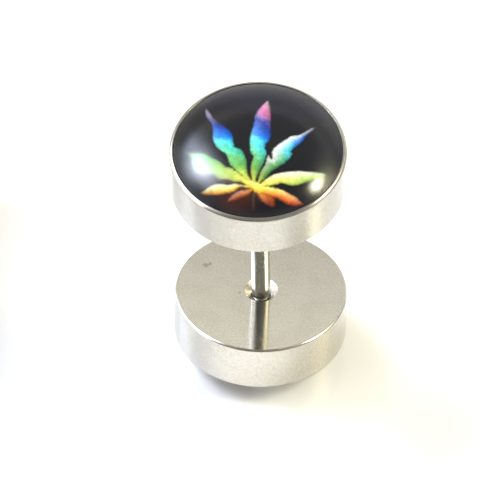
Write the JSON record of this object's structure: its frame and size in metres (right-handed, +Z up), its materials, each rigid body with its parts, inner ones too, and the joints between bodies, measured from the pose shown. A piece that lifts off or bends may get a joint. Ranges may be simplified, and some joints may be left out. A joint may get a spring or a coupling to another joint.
{
  "type": "fake piercing earring",
  "caption": "Fake ear plug: thick steel discs on a thin post, a printed black face under a clear resin dome, and a back disc that unscrews.",
  "frame": {"origin": "centre of the back disc's outer face, which the earring stands on", "axes": "+Z up, square to the resting face; the post and front disc lean 9 degrees from +Z towards -Y; X across, the plane of symmetry is YZ"},
  "size_m": [0.01, 0.0121, 0.0173],
  "materials": {
    "steel": "polished stainless steel with faint turning marks",
    "print": "black printed disc",
    "resin": "clear glossy resin"
  },
  "bodies": {
    "back": {"back_disc": "steel"},
    "front": {"front_disc": "steel", "post": "steel", "printed_disc": "print", "dome": "resin"}
  },
  "joints": [
    {"name": "back_disc_off", "type": "slide", "parent": "back", "child": "front", "axis": [0, -0.1564, 0.9877], "range_m": [0, 0.008]}
  ]
}
